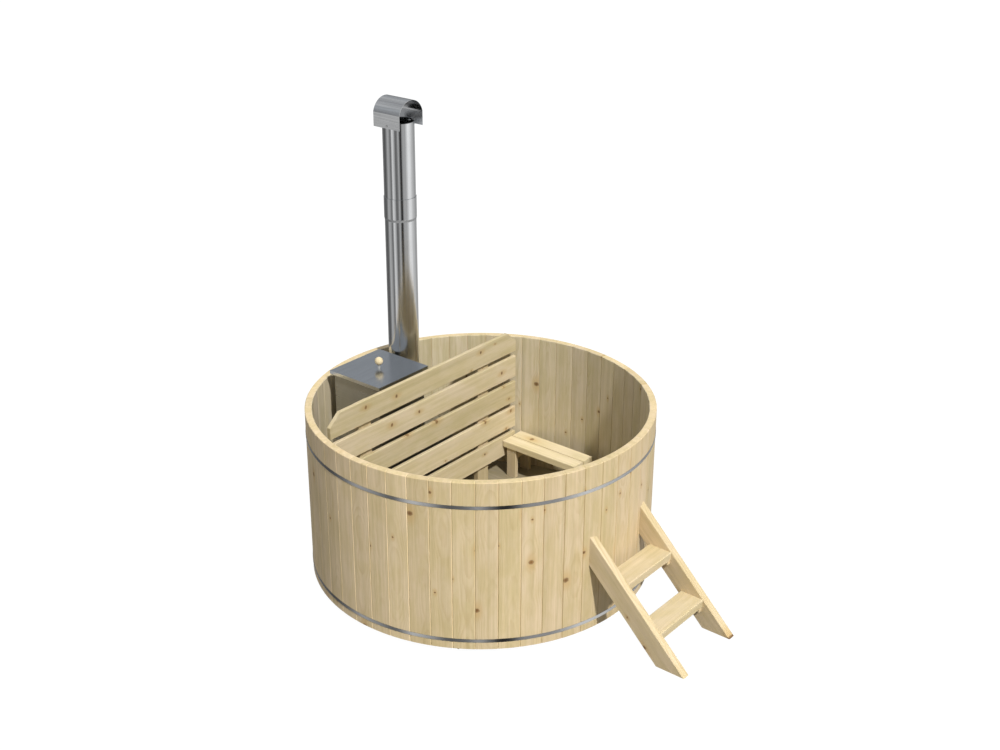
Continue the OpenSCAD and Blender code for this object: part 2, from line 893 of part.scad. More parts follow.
// Lid with a turned-down edge, over the flange of the shaft
module stove_lid() {
    color("lightgray") difference() {
        mid_box(lid_x, lid_y, lid_top_z - lid_rim, lid_w, lid_l, lid_rim);
        mid_box(lid_x, lid_y, lid_top_z - lid_rim - over, lid_w - 2 * lid_t, lid_l - 2 * lid_t,
            lid_rim - lid_t + over);
        translate([lid_x, lid_y, lid_top_z - lid_t - over])
            cylinder(h = lid_t + 2 * over, d = knob_bolt_d + 2 * knob_bolt_play);
    }
}

module lid_knob() {
    color("wheat") translate([lid_x, lid_y, lid_top_z + neck_h]) difference() {
        translate([0, 0, knob_r - knob_flat]) sphere(knob_r);
        translate([0, 0, -knob_d]) cylinder(h = knob_d, d = knob_d);
        translate([0, 0, -over]) cylinder(h = knob_bolt_bite + over + knob_bolt_play,
            d = knob_bolt_d + 2 * knob_bolt_play);
    }
}

module knob_neck() {
    color("silver") translate([lid_x, lid_y, lid_top_z]) difference() {
        cylinder(h = neck_h, d = neck_d);
        translate([0, 0, -over])
            cylinder(h = neck_h + 2 * over, d = knob_bolt_d + 2 * knob_bolt_play);
    }
}

module knob_bolt() {
    head_h = knob_bolt_d * flat_head_share;
    color("silver") translate([lid_x, lid_y, lid_top_z - lid_t]) {
        translate([0, 0, -head_h]) cylinder(h = head_h, d = knob_bolt_d * flat_head_d_share);
        cylinder(h = lid_t + neck_h + knob_bolt_bite, d = knob_bolt_d);
    }
}

// Flue

// Lower pipe, stood over the collar and belled out at its top
module flue_lower() {
    color("silver") translate([flue_x, flue_y, 0]) rotate_extrude()
        polygon([[flue_r, firebox_top], [flue_r, socket_z], [socket_r, socket_z + socket_cone],
            [socket_r, socket_z + socket_h], [socket_r - flue_t, socket_z + socket_h],
            [socket_r - flue_t, socket_z + socket_cone], [flue_r - flue_t, socket_z],
            [flue_r - flue_t, firebox_top]]);
}

module flue_upper() {
    foot = socket_z + socket_cone + seat;
    color("silver") difference() {
        translate([flue_x, flue_y, foot]) difference() {
            cylinder(h = flue_top_z - foot, r = flue_r);
            translate([0, 0, -over]) cylinder(h = flue_top_z - foot + 2 * over, r = flue_r - flue_t);
        }
        at_hood_screws() hood_hole();
    }
}

// One screw on each side, pointing at the flue axis
module at_hood_screws() {
    for (side = [0, 1]) translate([flue_x, flue_y, hood_screw_z]) rotate(side * 180)
        translate([0, hood_half, 0]) rotate([-90, 0, 0]) children();
}

module hood_hole() {
    translate([0, 0, -hood_half / 2])
        cylinder(h = hood_half, d = hood_screw_d + 2 * hood_screw_play);
}

// Section of the hood, inset from its outer face
module hood_section(inset) {
    half = hood_half - inset;
    translate([-half, hood_z - (inset > 0 ? over : 0)])
        square([2 * half, hood_side_h + (inset > 0 ? over : 0)]);
    intersection() {
        translate([0, hood_arch_z]) circle(hood_arch_r - inset);
        translate([-half, hood_bend - over]) square([2 * half, hood_arch_r + over]);
    }
}

module flue_hood() {
    color("silver") difference() {
        translate([flue_x - hood_l / 2, flue_y, 0]) rotate([90, 0, 90]) linear_extrude(hood_l)
            difference() {
                hood_section(0);
                hood_section(hood_t);
            }
        at_hood_screws() hood_hole();
    }
}

module hood_bushes() {
    l = hood_half - hood_t - flue_r;
    color("silver") at_hood_screws() translate([0, 0, -hood_t - l]) difference() {
        cylinder(h = l, d = hood_bush_d);
        translate([0, 0, -over]) cylinder(h = l + 2 * over, d = hood_screw_d + 2 * hood_screw_play);
    }
}

module hood_screws() {
    l = hood_half - flue_r + flue_t + hood_nut_h + hood_screw_d * flat_head_share;
    color("silver") at_hood_screws() {
        cylinder(h = hood_head_h, d = hood_head_d);
        translate([0, 0, -l]) cylinder(h = l, d = hood_screw_d);
    }
}

module hood_nuts() {
    color("silver") at_hood_screws()
        translate([0, 0, -(hood_half - flue_r + flue_t + hood_nut_h + seat)]) difference() {
            hex(hood_nut_af, hood_nut_h);
            translate([0, 0, -over])
                cylinder(h = hood_nut_h + 2 * over, d = hood_screw_d + 2 * hood_screw_play);
        }
}

// Drain

// Puts +Z along the drain axis, outwards, with +X down
module at_drain() {
    rotate(drain_az) translate([0, 0, drain_z]) rotate([0, 90, 0]) children();
}

// Tube from x to its end, in the drain's own direction
module drain_tube(x, end, d, bore) {
    translate([0, 0, x]) difference() {
        cylinder(h = end - x, d = d);
        translate([0, 0, -over]) cylinder(h = end - x + 2 * over, d = bore);
    }
}

module drain_fitting() {
    face = inner_r - gasket_t - drain_flange_t;
    color("silver") at_drain() difference() {
        union() {
            translate([0, 0, face]) cylinder(h = drain_flange_t, d = drain_flange_d);
            translate([0, 0, face]) cylinder(h = drain_end - face - seat, d = drain_d);
        }
        translate([0, 0, face - over]) cylinder(h = drain_end - face + 2 * over, d = drain_bore);
    }
}

module drain_gasket() {
    color("black") at_drain()
        drain_tube(inner_r - gasket_t, inner_r, drain_flange_d, drain_d + 2 * drain_play);
}

module drain_nut() {
    color("silver") at_drain() translate([0, 0, drain_nut_x]) difference() {
        hex(drain_flange_d * cos(180 / hex_sides), drain_nut_h);
        translate([0, 0, -over])
            cylinder(h = drain_nut_h + 2 * over, d = drain_d + 2 * drain_play);
    }
}

// Valve body, screwed over the tube, with a round chamber open to its outer end
module valve_body() {
    socket_d = drain_d + 2 * drain_play;
    color("goldenrod") at_drain() difference() {
        union() {
            translate([0, 0, valve_x]) hex(socket_d + 2 * valve_wall, valve_socket + over);
            translate([0, 0, valve_x + valve_socket]) cylinder(h = valve_end - valve_x - valve_socket,
                r = valve_r);
            translate([0, 0, ball_x]) rotate([0, -90, 0]) cylinder(h = stem_top, d = bonnet_d);
        }
        translate([0, 0, valve_x - over]) cylinder(h = valve_socket + over, d = socket_d);
        translate([0, 0, valve_x]) cylinder(h = valve_end - valve_x, d = valve_bore);
        translate([0, 0, ball_x]) sphere(ball_r + ball_play);
        translate([0, 0, ball_x]) cylinder(h = valve_end - ball_x + over, r = ball_r + ball_play);
        translate([0, 0, ball_x]) rotate([0, -90, 0])
            cylinder(h = stem_top + over, d = stem_d + 2 * stem_play);
    }
}

// Cap that closes the chamber and carries the hose spigot
module valve_cap() {
    color("goldenrod") at_drain() difference() {
        union() {
            translate([0, 0, mouth_x]) cylinder(h = valve_end - mouth_x, r = ball_r);
            translate([0, 0, valve_end]) cylinder(h = cap_flange, r = valve_r);
            translate([0, 0, valve_end]) cylinder(h = cap_flange + spigot_l, d = spigot_d);
        }
        translate([0, 0, ball_x]) sphere(ball_r + ball_play);
        translate([0, 0, ball_x]) cylinder(h = valve_end - ball_x + cap_flange + spigot_l + over,
            d = valve_bore);
    }
}

// Ball and stem, the way through it across the tube while the valve is shut
module valve_ball() {
    color("silver") at_drain() translate([0, 0, ball_x]) {
        difference() {
            sphere(ball_r);
            rotate([90, 0, 0]) cylinder(h = ball_d + 2 * over, d = valve_bore, center = true);
        }
        rotate([0, -90, 0]) translate([0, 0, valve_bore / 2 + over])
            cylinder(h = stem_top + lever_gap + lever_t + stem_nut_h - valve_bore / 2, d = stem_d);
    }
}

// Lever, along the wall while the valve is shut
module valve_lever() {
    color("crimson") at_drain() translate([-stem_top - lever_gap - lever_t, 0, ball_x])
        rotate([0, 90, 0]) difference() {
            union() {
                cylinder(h = lever_t, d = lever_hub_d);
                translate([-lever_w / 2, 0, 0]) cube([lever_w, lever_l - lever_w / 2, lever_t]);
                translate([0, lever_l - lever_w / 2, 0]) cylinder(h = lever_t, d = lever_w);
            }
            translate([0, 0, -over]) cylinder(h = lever_t + 2 * over, d = stem_d + 2 * stem_play);
        }
}

module valve_nut() {
    color("silver") at_drain() translate([-stem_top - lever_gap - lever_t, 0, ball_x])
        rotate([0, -90, 0]) difference() {
            hex(stem_nut_af, stem_nut_h);
            translate([0, 0, -over])
                cylinder(h = stem_nut_h + 2 * over, d = stem_d + 2 * stem_play);
        }
}

staves();
drain_stave();
floor_boards();
bearer(0);  // bearer_center
bearer(-bearer_pitch);  // bearer_stove
bearer(bearer_pitch);  // bearer_steps
hoop(hoop_upper_z);  // hoop_upper
hoop(hoop_lower_z);  // hoop_lower
hoop_bolts();
hoop_nuts();
guard_board(0);  // guard_board_1
guard_board(1);  // guard_board_2
guard_board(2);  // guard_board_3
guard_board(3);  // guard_board_4
guard_board(4);  // guard_board_5
guard_batten(-1);  // guard_batten_near
guard_batten(1);  // guard_batten_far
guard_screws();
foot_brackets();
foot_screws();
seat_board(bench_front);  // seat_board_front
seat_board(bench_front + seat_w + seat_gap);  // seat_board_wall
bench_leg(leg_xs[0], leg_ys[0]);  // bench_leg_1
bench_leg(leg_xs[0], leg_ys[1]);  // bench_leg_2
bench_leg(leg_xs[1], leg_ys[0]);  // bench_leg_3
bench_leg(leg_xs[1], leg_ys[1]);  // bench_leg_4
bench_rail(leg_xs[0]);  // bench_rail_1
bench_rail(leg_xs[1]);  // bench_rail_2
bench_screws();
stringer(-1);  // stringer_near
stringer(1);  // stringer_far
tread(1);  // tread_upper
tread(0);  // tread_lower
tread_cleats();
step_screws();
stove_body();
stove_runners();
stove_screws();
stove_grate();
ash_pan();
stove_lid();
lid_knob();
knob_neck();
knob_bolt();
flue_lower();
flue_upper();
flue_hood();
hood_bushes();
hood_screws();
hood_nuts();
drain_fitting();
drain_gasket();
drain_nut();
valve_body();
valve_cap();
valve_ball();
valve_lever();
valve_nut();
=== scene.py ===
"""Wooden hot tub with an inside stove: materials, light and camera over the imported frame."""
import math
from types import SimpleNamespace

import bpy
from mathutils import Matrix, Vector


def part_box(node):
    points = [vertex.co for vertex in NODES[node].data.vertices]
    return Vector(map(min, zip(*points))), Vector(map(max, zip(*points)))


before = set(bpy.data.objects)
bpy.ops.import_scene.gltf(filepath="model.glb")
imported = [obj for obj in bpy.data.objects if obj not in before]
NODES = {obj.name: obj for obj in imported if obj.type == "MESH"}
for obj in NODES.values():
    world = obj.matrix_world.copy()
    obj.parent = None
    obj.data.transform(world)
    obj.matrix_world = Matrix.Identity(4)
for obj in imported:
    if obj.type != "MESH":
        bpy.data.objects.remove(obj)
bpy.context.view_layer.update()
scene = bpy.context.scene

# The round wall: radii, height and the staves' V in metres, and the angle that each stave takes
TUB_R = 0.950
INNER_R = 0.910
MIDDLE_R = (TUB_R + INNER_R) / 2
INNER_FACE = (INNER_R - TUB_R) / 2
RIM_Z = 0.994
STAVES = 52
STAVE_TURN = 2 * math.pi / STAVES
V_DEPTH = 0.003


# Node helpers
class Tree:
    """Adds shader nodes and joins them; a value is a number, a tuple or another node's output."""

    def __init__(self, tree):
        self.tree = tree

    def put(self, value, socket):
        if isinstance(value, bpy.types.NodeSocket):
            self.tree.links.new(value, socket)
        elif value is not None:
            socket.default_value = value

    def node(self, kind, inputs=(), **props):
        n = self.tree.nodes.new(kind)
        for k, v in props.items():
            setattr(n, k, v)
        for k, v in dict(inputs).items():
            self.put(v, n.inputs[k])
        return n

    def math(self, op, a, b=None):
        n = self.node("ShaderNodeMath", operation=op)
        self.put(a, n.inputs[0])
        self.put(b, n.inputs[1])
        return n.outputs[0]

    def add(self, a, b):
        return self.math("ADD", a, b)

    def sub(self, a, b):
        return self.math("SUBTRACT", a, b)

    def mul(self, a, b):
        return self.math("MULTIPLY", a, b)

    def div(self, a, b):
        return self.math("DIVIDE", a, b)

    def vec(self, op, a, b=None):
        n = self.node("ShaderNodeVectorMath", operation=op)
        self.put(a, n.inputs[0])
        self.put(b, n.inputs["Scale" if op == "SCALE" else 1])
        return n.outputs["Value" if op in ("LENGTH", "DOT_PRODUCT") else "Vector"]

    def join(self, x, y, z=0.0):
        return self.node("ShaderNodeCombineXYZ", {0: x, 1: y, 2: z}).outputs[0]

    def split(self, v):
        return self.node("ShaderNodeSeparateXYZ", {0: v}).outputs

    def span(self, value, lo, hi, a=0.0, b=1.0, smooth=True):
        """Takes lo to hi onto a to b, and holds the value at both ends."""
        n = self.node("ShaderNodeMapRange", {0: value, 1: lo, 2: hi, 3: a, 4: b})
        n.interpolation_type = "SMOOTHSTEP" if smooth else "LINEAR"
        return n.outputs[0]

    def noise(self, v, scale, detail=2.0, rough=0.5):
        inputs = {"Vector": v, "Scale": scale, "Detail": detail, "Roughness": rough}
        return self.node("ShaderNodeTexNoise", inputs, noise_dimensions="3D").outputs[0]

    def mix(self, share, a, b, mode="MIX"):
        n = self.node("ShaderNodeMix", data_type="RGBA", blend_type=mode)
        self.put(share, n.inputs[0])
        self.put(a, n.inputs[6])
        self.put(b, n.inputs[7])
        return n.outputs[2]

    def tint(self, color, by, share=1.0):
        """Multiplies a colour, as far as share says."""
        return self.mix(share, color, by, "MULTIPLY")

    def ramp(self, value, stops):
        """Eased steps of colour; each stop is a position and its colour."""
        n = self.node("ShaderNodeValToRGB", {0: value})
        elements = n.color_ramp.elements
        n.color_ramp.interpolation = "EASE"
        while len(elements) < len(stops):
            elements.new(0.5)
        for element, (position, color) in zip(elements, stops):
            element.position = position
            element.color = (*color, 1.0)
        return n.outputs[0]

    def bump(self, height, strength, depth):
        inputs = {"Strength": strength, "Distance": depth, "Height": height}
        return self.node("ShaderNodeBump", inputs).outputs[0]


def material(name):
    """A new material with its tree, its shader and the place on the object in metres."""
    mat = bpy.data.materials.new(name)
    mat.use_nodes = True
    mat.node_tree.nodes.clear()
    t = Tree(mat.node_tree)
    out = t.node("ShaderNodeOutputMaterial")
    bsdf = t.node("ShaderNodeBsdfPrincipled")
    t.put(bsdf.outputs[0], out.inputs["Surface"])
    place = t.node("ShaderNodeTexCoord").outputs["Object"]
    return mat, t, bsdf, place


# Wood colours: early and late wood, knots, and tints that multiply them
EARLY = (0.625, 0.512, 0.316, 1.0)
LATE = (0.548, 0.428, 0.244, 1.0)
KNOT_LIGHT = (0.35, 0.17, 0.05, 1.0)
KNOT_DARK = (0.15, 0.075, 0.028, 1.0)
KNOT_EYE = (0.085, 0.048, 0.022, 1.0)
KNOT_EDGE = (0.17, 0.10, 0.050, 1.0)
KNOT_HALO = (0.50, 0.31, 0.11, 1.0)
GOLD_BOARD = (1.015, 1.005, 0.945, 1.0)
ROSE_BOARD = (1.01, 0.98, 1.01, 1.0)
GOLD_PATCH = (1.012, 1.0, 0.955, 1.0)
ROSE_PATCH = (1.0, 0.99, 1.02, 1.0)
# Inside tint: the staves' inner face is greyer wood, and painted shade darkens it
INSIDE_GREY_AND_SHADE = (0.86, 0.93, 1.05, 1.0)
END_TINT = (1.00, 1.01, 1.00, 1.0)
# Bevel tints: painted shade on each stave's left bevel, painted highlight on its right one
BEVEL_SHADE_LEFT = (0.84, 0.81, 0.76, 1.0)
BEVEL_HIGHLIGHT_RIGHT = (1.30, 1.31, 1.33, 1.0)

# Tones of the wood, from board to board and in streaks, fibres and patches; blue takes a power of them
BOARD_TONE = (0.90, 1.06)
STREAK_TONE = (-0.085, 0.065)
FIBRE_TONE = 0.035
PATCH_TONE = 0.05
BLUE_POWER = 1.35

# How strongly the rings show, where they are weakest and where they are strongest
RING_STRENGTH = (0.15, 0.85)

# How fast each noise varies across a board and along it, in cycles a metre
FIBRE_LINES = (260.0, 7.0)
FADE_LINES = (22.0, 1.6)
STREAK_LINES = (55.0, 1.3)
PATCH_LINES = (13.0, 5.0)
WANDER_LINES = (1.1, 1.7)
RAGGED_LINES = 110.0

# The values of each noise that are spread over the whole of a tone; those outside are held
MIDDLE = (0.3, 0.7)
FADE_RANGE = (0.30, 0.72)
STREAK_RANGE = (0.25, 0.75)
PATCH_RANGE = (0.32, 0.68)
CAST_RANGE = (0.36, 0.64)

# Knots, in metres: the smallest radius, what the biggest has more, and how far the outline strays
KNOT_R = 0.0038
KNOT_R_MORE = 0.0095
KNOT_STRAY = 0.010

# Knots: how far they lie off the middle of their cells, and what a distance along the board counts
KNOT_JITTER = 0.72
KNOT_ALONG = 1.15
HALO_ALONG = 0.42

# Parts of a knot: where each begins and where it is full, in knot radii, and how much of it shows
CORE_SPAN = (1.05, 0.75)
EYE_SPAN = (0.75, 0.15)
EDGE_OUTSIDE = (1.5, 1.05)
EDGE_INSIDE = (0.55, 0.95)
HALO_SPAN = (3.6, 0.6)
CORE_SHARE = 0.88
EYE_SHARE = 0.6
EDGE_SHARE = 0.60
HALO_SHARE = 0.48

# Growth rings, in metres: how far the heart lies off the board, how far it wanders, the swell at a knot
HEART_ASIDE = 0.09
HEART_DEPTH = 0.035
HEART_DEPTH_MORE = 0.11
WANDER_ASIDE = 0.085
WANDER_DEPTH = 0.06
RING_SWELL = 0.006

# Late wood: where in a ring it grows darker and where it ends, as shares, and how much fibres fray it
LATE_GROWS = (0.30, 0.90)
LATE_ENDS = (1.0, 0.93)
LATE_FRAY = 0.55

# Surface of the wood: shine, changes of the roughness, shares of the relief, and its depth in metres
WOOD_SHINE = 0.35
FIBRE_ROUGH = 0.05
KNOT_POLISH = 0.12
RING_RELIEF = 0.35
FIBRE_RELIEF = 0.65
WOOD_BUMP = 0.35
WOOD_BUMP_DEPTH = 0.0005

# Borders of the staves' tints, in metres: how soft they are, and how far below the rim the last one lies
BEVEL_BLUR = V_DEPTH * 0.15
FACE_BLUR = 0.001
RIM_FADE = (0.0012, 0.0004)

# Seeds: what is added to a board's cell, and how far apart two boards are read in a noise
SEED = (3.7, 1.3, 7.9)
BOARD_APART = 37.0
WANDER_APART = 40.0

# The same distance for streaks and patches, as shares of BOARD_APART
STREAK_APART = 1.7
PATCH_APART = 0.6


def stave_axes(t, place):
    """Places across, through and along each stave, from its own middle, and a seed for each stave."""
    x, y, z = t.split(place)
    turn = t.math("ARCTAN2", y, x)
    index = t.math("FLOOR", t.add(t.div(turn, STAVE_TURN), 0.5))
    across = t.mul(t.sub(turn, t.mul(index, STAVE_TURN)), MIDDLE_R)
    through = t.sub(t.vec("LENGTH", t.join(x, y)), MIDDLE_R)
    return (across, through, z), t.join(index, SEED[0], SEED[1])


def board_axes(t, place, layout, cell, shift):
    """The same places for straight boards that lie in the cells of a grid, and a seed for each cell."""
    by_name = dict(zip("XYZ", t.split(place)))
    seed = t.vec("FLOOR", t.vec("DIVIDE", t.vec("SUBTRACT", place, shift), cell))
    return tuple(by_name[a] for a in layout), t.vec("ADD", seed, SEED)


def drawn_out(t, axes, lines, offset, detail=2.0, rough=0.5):
    """Noise that varies fast across and through the board and slowly along it."""
    across, through, along = axes
    fine, coarse = lines
    place = t.join(t.mul(across, fine), t.mul(through, fine), t.mul(along, coarse))
    return t.noise(t.vec("ADD", place, offset), 1.0, detail, rough)


def knots(t, axes, far, start, cell, share):
    """Knots for a share of the cells along each board: where core, eye, edge and halo are."""
    wide, high = cell
    flat = t.join(t.div(axes[0], wide), t.div(axes[2], high))
    flat = t.vec("ADD", flat, t.vec("MULTIPLY", far, (0.0, 1.0, 0.0)))
    flat = t.vec("ADD", flat, t.join(0.5, start))
    spot = t.node("ShaderNodeTexVoronoi", {"Vector": flat, "Scale": 1.0, "Randomness": KNOT_JITTER},
                  voronoi_dimensions="2D", feature="F1")
    away = t.vec("SUBTRACT", flat, spot.outputs["Position"])
    away = t.vec("MULTIPLY", away, (wide, high * KNOT_ALONG, 0.0))
    chance, big, tone = t.split(spot.outputs["Color"])
    there = t.math("LESS_THAN", chance, share)
    size = t.add(KNOT_R, t.mul(t.mul(big, big), KNOT_R_MORE))
    ragged = t.noise(t.vec("ADD", t.join(*axes), far), RAGGED_LINES, detail=3.0, rough=0.6)
    ratio = t.div(t.add(t.vec("LENGTH", away), t.mul(t.sub(ragged, 0.5), KNOT_STRAY)), size)
    drawn = t.div(t.vec("LENGTH", t.vec("MULTIPLY", away, (1.0, HALO_ALONG, 0.0))), size)
    core = t.mul(there, t.span(ratio, *CORE_SPAN))
    edge = t.mul(t.span(ratio, *EDGE_OUTSIDE), t.span(ratio, *EDGE_INSIDE))
    return SimpleNamespace(
        core=core,
        eye=t.mul(core, t.span(ratio, *EYE_SPAN)),
        edge=t.mul(there, edge),
        halo=t.mul(there, t.span(drawn, *HALO_SPAN)),
        tone=tone)


def wander(t, along, lines, first, second):
    """How far a ring's heart strays along its board, from -0.5 to 0.5, by two seeds of the board."""
    return t.sub(t.noise(t.join(t.mul(along, lines), first, t.mul(second, WANDER_APART)), 1.0), 0.5)


def rings(t, axes, r, swell, fibre, pitch):
    """Late-wood lines of growth rings round a heart that lies off the board and wanders along it."""
    across, through, along = axes
    aside = t.mul(t.sub(r[0], 0.5), HEART_ASIDE)
    aside = t.add(aside, t.mul(wander(t, along, WANDER_LINES[0], r[0], r[1]), WANDER_ASIDE))
    below = t.add(HEART_DEPTH, t.mul(r[2], HEART_DEPTH_MORE))
    below = t.add(below, t.mul(wander(t, along, WANDER_LINES[1], r[2], r[0]), WANDER_DEPTH))
    radius = t.vec("LENGTH", t.join(t.add(across, aside), t.add(through, below)))
    turns = t.div(t.add(radius, t.mul(swell, RING_SWELL)), pitch)
    phase = t.math("FRACT", t.add(turns, t.mul(fibre, LATE_FRAY)))
    return t.mul(t.span(phase, *LATE_GROWS), t.span(phase, *LATE_ENDS))


def stave_tints(t, color, axes):
    """Paints shade on each stave's left bevel and a highlight on its right one, greys its inner face with
    painted shade, and tints its end grain.
    """
    across, through, along = axes
    flat_half = STAVE_TURN / 2 * MIDDLE_R - V_DEPTH
    bevel = t.span(t.math("ABSOLUTE", across), flat_half - BEVEL_BLUR, flat_half)
    bevel = t.mul(bevel, t.span(through, -FACE_BLUR, FACE_BLUR))
    on_right = t.math("GREATER_THAN", across, 0.0)
    # Painted shade on the left bevels and painted highlight on the right ones
    color = t.tint(color, t.mix(on_right, BEVEL_SHADE_LEFT, BEVEL_HIGHLIGHT_RIGHT), bevel)
    groove = INNER_FACE + V_DEPTH
    # Inner face: greyer wood with painted shade
    color = t.tint(color, INSIDE_GREY_AND_SHADE, t.span(through, groove + FACE_BLUR, groove))
    return t.tint(color, END_TINT, t.span(along, RIM_Z - RIM_FADE[0], RIM_Z - RIM_FADE[1]))


def wood(name, layout, cell=(1, 1, 1), shift=(0, 0, 0), early=EARLY, late=LATE, share=0.55,
         knot_cell=(0.115, 0.46), ring=0.0042, rough=0.56, grain=0.85, tint=(1.0, 1.0, 1.0),
         hue=0.55, turn=0.0):
    """Softwood with growth rings, fibres, and knots that run through the board.
    layout is the axes across, through and along the board, as in "YXZ", or "stave" for the round wall.
    share is how many knot cells have a knot, ring the pitch of the rings and grain how strong they are,
    hue how far boards differ in colour, tint a colour that multiplies the whole wood and on some pieces
    paints shade or light on it, and turn the angle about Y that sets boards upright which lean."""
    mat, t, bsdf, place = material(name)
    if turn:
        turned = t.node("ShaderNodeVectorRotate", {"Vector": place, "Angle": turn}, rotation_type="Y_AXIS")
        place = turned.outputs[0]
    if layout == "stave":
        axes, seed = stave_axes(t, place)
    else:
        axes, seed = board_axes(t, place, layout, cell, shift)
    rnd = t.node("ShaderNodeTexWhiteNoise", {0: seed}, noise_dimensions="3D").outputs["Color"]
    r = t.split(rnd)
    far = t.vec("SCALE", rnd, BOARD_APART)

    knot = knots(t, axes, far, r[1], knot_cell, share)
    fibre = drawn_out(t, axes, FIBRE_LINES, far, detail=3.0, rough=0.6)
    line = rings(t, axes, r, knot.halo, fibre, ring)
    fade = drawn_out(t, axes, FADE_LINES, far)
    streak = drawn_out(t, axes, STREAK_LINES, t.vec("SCALE", far, STREAK_APART), detail=3.0, rough=0.55)
    patch = drawn_out(t, axes, PATCH_LINES, t.vec("SCALE", far, PATCH_APART), detail=3.0, rough=0.6)

    depth = t.mul(t.span(fade, *FADE_RANGE, *RING_STRENGTH), grain)
    color = t.mix(t.mul(line, depth), early, late)
    color = t.tint(color, t.mix(r[1], GOLD_BOARD, ROSE_BOARD), hue)
    tone = t.span(r[0], 0.0, 1.0, *BOARD_TONE, smooth=False)
    tone = t.add(tone, t.span(streak, *STREAK_RANGE, *STREAK_TONE))
    tone = t.add(tone, t.span(fibre, *MIDDLE, -FIBRE_TONE, FIBRE_TONE))
    tone = t.add(tone, t.span(patch, *PATCH_RANGE, -PATCH_TONE, PATCH_TONE))
    color = t.tint(color, t.join(tone, tone, t.math("POWER", tone, BLUE_POWER)))
    color = t.tint(color, t.mix(t.span(patch, *CAST_RANGE), GOLD_PATCH, ROSE_PATCH))

    color = t.mix(t.mul(knot.halo, HALO_SHARE), color, KNOT_HALO)
    color = t.mix(t.mul(knot.core, CORE_SHARE), color, t.mix(knot.tone, KNOT_LIGHT, KNOT_DARK))
    color = t.mix(t.mul(knot.eye, EYE_SHARE), color, KNOT_EYE)
    color = t.mix(t.mul(knot.edge, EDGE_SHARE), color, KNOT_EDGE)
    if layout == "stave":
        color = stave_tints(t, color, axes)
    t.put(t.tint(color, (*tint, 1.0)), bsdf.inputs["Base Color"])

    dull = t.add(rough, t.span(fibre, *MIDDLE, -FIBRE_ROUGH, FIBRE_ROUGH))
    t.put(t.sub(dull, t.mul(knot.core, KNOT_POLISH)), bsdf.inputs["Roughness"])
    bsdf.inputs["Specular IOR Level"].default_value = WOOD_SHINE
    height = t.add(t.mul(line, RING_RELIEF), t.mul(fibre, FIBRE_RELIEF))
    t.put(t.bump(height, WOOD_BUMP, WOOD_BUMP_DEPTH), bsdf.inputs["Normal"])
    return mat


# Stains and specks of sheet metal: how fast they vary, in cycles a metre, and what they change
STAIN_LINES = 6.0
STAIN_RANGE = (0.42, 0.70)
STAIN_TINT = (0.62, 0.60, 0.56)
STAIN_ROUGH = 0.35
SPECK_LINES = 140.0
SPECK_RANGE = (0.55, 0.8)
SPECK_ROUGH = 0.04

# Relief of the brushing and its depth in metres, the tint of dull parts, and the turn of long highlights
BRUSH_BUMP = 0.12
BRUSH_BUMP_DEPTH = 0.0002
DULL_TINT = (0.98, 1.01, 1.05)
QUARTER_TURN = 0.25

# Coats: clouds, in cycles a metre and as tones, and what the grit changes
COAT_LINES = 14.0
COAT_TONE = (0.86, 1.10)
GRIT_TONE = 0.06
GRIT_BUMP = 0.5


def metal(name, color, rough, brush, spread=0.10, stain=0.10, streaks=0.06, metallic=1.0,
          aniso=0.0, dull_part=None, dull_look=(0.33, 0.1, 0.25)):
    """Sheet or bar metal: brush is how fast the brushing varies along X, Y and Z, in lines a metre.
    dull_part is a function that marks a part which forming or smoke has left dull, and dull_look
    is that part's tone, its metallic value and what it adds to the roughness."""
    mat, t, bsdf, place = material(name)
    lines = t.noise(t.vec("MULTIPLY", place, brush), 1.0, rough=0.6)
    cloud = t.noise(place, STAIN_LINES, detail=4.0, rough=0.6)
    specks = t.noise(place, SPECK_LINES)
    stained = t.mul(t.span(cloud, *STAIN_RANGE), stain)
    shade = t.span(lines, *MIDDLE, 1.0 - streaks, 1.0 + streaks)
    tone = t.mix(stained, (*color, 1.0), (*(c * s for c, s in zip(color, STAIN_TINT)), 1.0))
    tone = t.tint(tone, t.join(shade, shade, shade))
    dull = t.add(rough, t.mul(t.sub(lines, 0.5), spread))
    dull = t.add(dull, t.mul(stained, STAIN_ROUGH))
    if dull_part:
        grey, low_metallic, more_rough = dull_look
        marked = dull_part(t, place)
        tone = t.mix(marked, tone, (*(grey * d for d in DULL_TINT), 1.0))
        metallic = t.sub(metallic, t.mul(marked, metallic - low_metallic))
        dull = t.add(dull, t.mul(marked, more_rough))
    t.put(tone, bsdf.inputs["Base Color"])
    t.put(metallic, bsdf.inputs["Metallic"])
    t.put(t.add(dull, t.span(specks, *SPECK_RANGE, 0.0, SPECK_ROUGH)), bsdf.inputs["Roughness"])
    bsdf.inputs["Anisotropic"].default_value = aniso
    bsdf.inputs["Anisotropic Rotation"].default_value = QUARTER_TURN
    t.put(t.bump(lines, BRUSH_BUMP, BRUSH_BUMP_DEPTH), bsdf.inputs["Normal"])
    return mat


def rough_coat(name, color, rough, grit, depth, metallic=0.0):
    """Cast, painted or moulded surface: grit is its fineness in cycles a metre, depth that of its relief."""
    mat, t, bsdf, place = material(name)
    fine = t.noise(place, grit, detail=3.0, rough=0.6)
    cloud = t.noise(place, COAT_LINES, detail=3.0, rough=0.55)
    grain = t.span(fine, *MIDDLE, -GRIT_TONE, GRIT_TONE)
    shade = t.add(t.span(cloud, *MIDDLE, *COAT_TONE), grain)
    t.put(t.tint((*color, 1.0), t.join(shade, shade, shade)), bsdf.inputs["Base Color"])
    bsdf.inputs["Metallic"].default_value = metallic
    t.put(t.add(rough, grain), bsdf.inputs["Roughness"])
    t.put(t.bump(fine, GRIT_BUMP, depth), bsdf.inputs["Normal"])
    return mat


